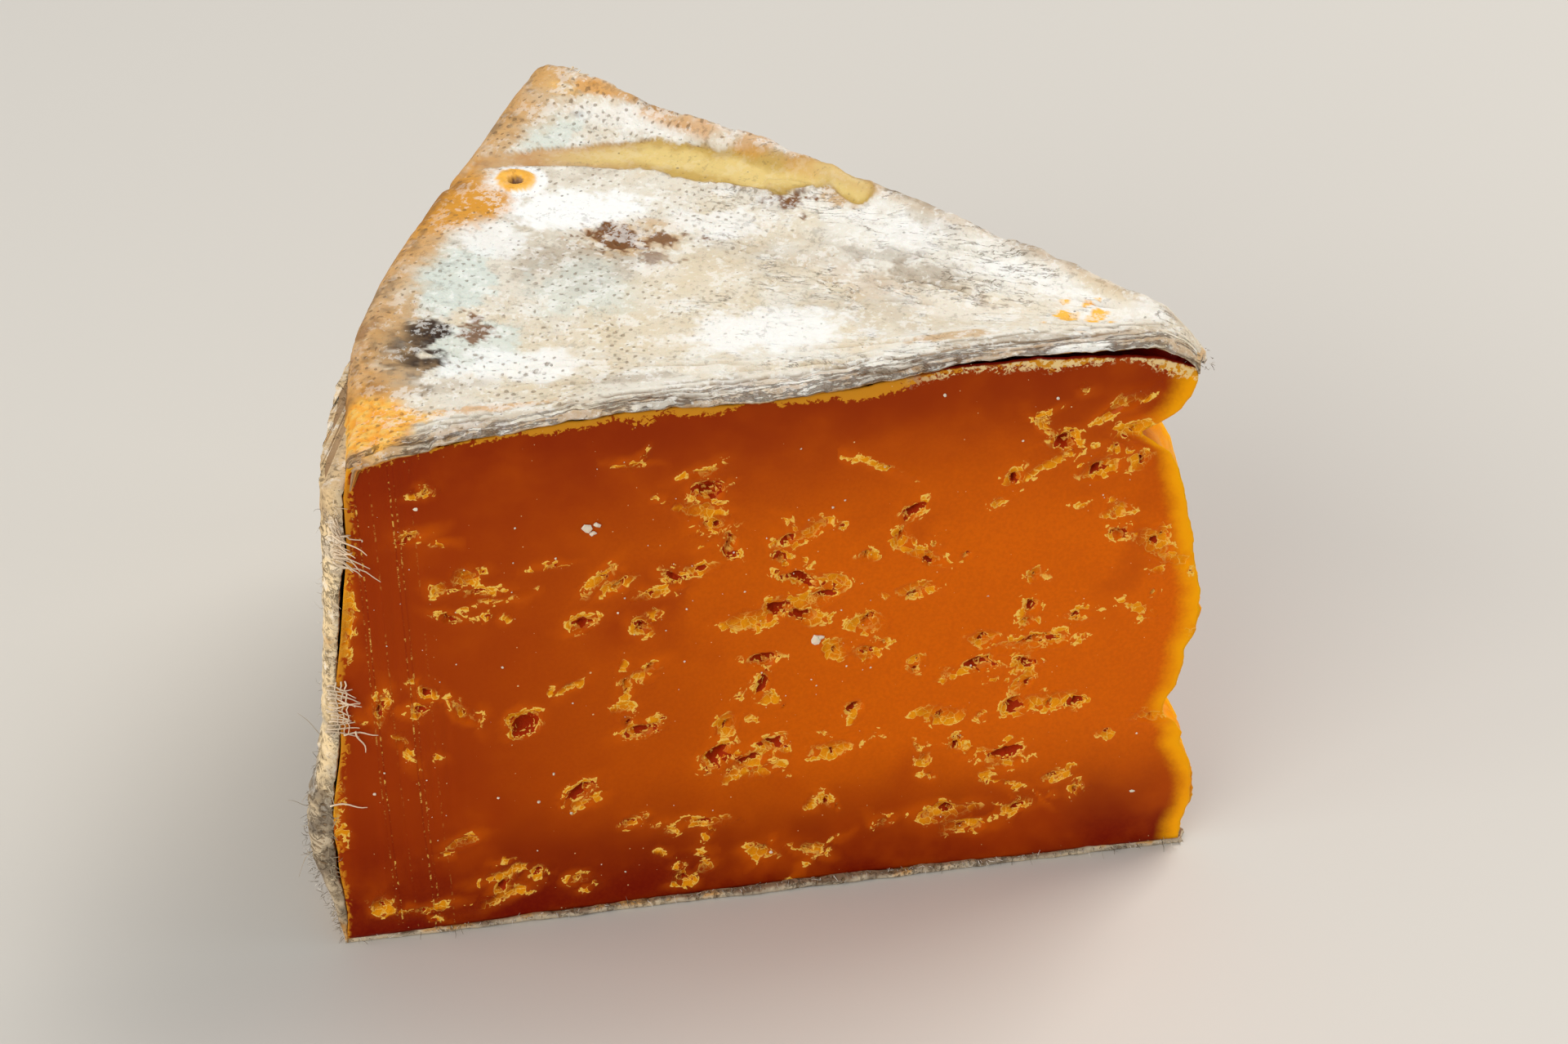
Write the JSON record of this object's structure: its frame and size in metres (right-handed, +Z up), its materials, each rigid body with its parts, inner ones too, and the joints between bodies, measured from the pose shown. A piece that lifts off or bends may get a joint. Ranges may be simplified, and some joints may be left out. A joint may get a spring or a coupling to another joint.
{
  "type": "cheddar wedge",
  "caption": "Tall wedge of orange clothbound cheddar with a mould-covered rind on top, rim and base, open crumbly cut faces and a chipped tip edge.",
  "frame": {"origin": "middle of the base, on the surface the wedge stands on", "axes": "+X along the middle of the wedge from the rim to the tip edge, +Z up; one cut face looks along -Y and the other along +Y"},
  "size_m": [0.0816, 0.07, 0.0585],
  "materials": {
    "paste": "moist glossy cut cheese, deep orange with paler torn openings",
    "rind": "dry mottled white, grey and beige mould over woven muslin",
    "cloth": "stiff beige muslin, frayed at the cut",
    "crystal": "chalky white crystal"
  },
  "bodies": {
    "root": {"wedge": "paste"}
  },
  "joints": []
}
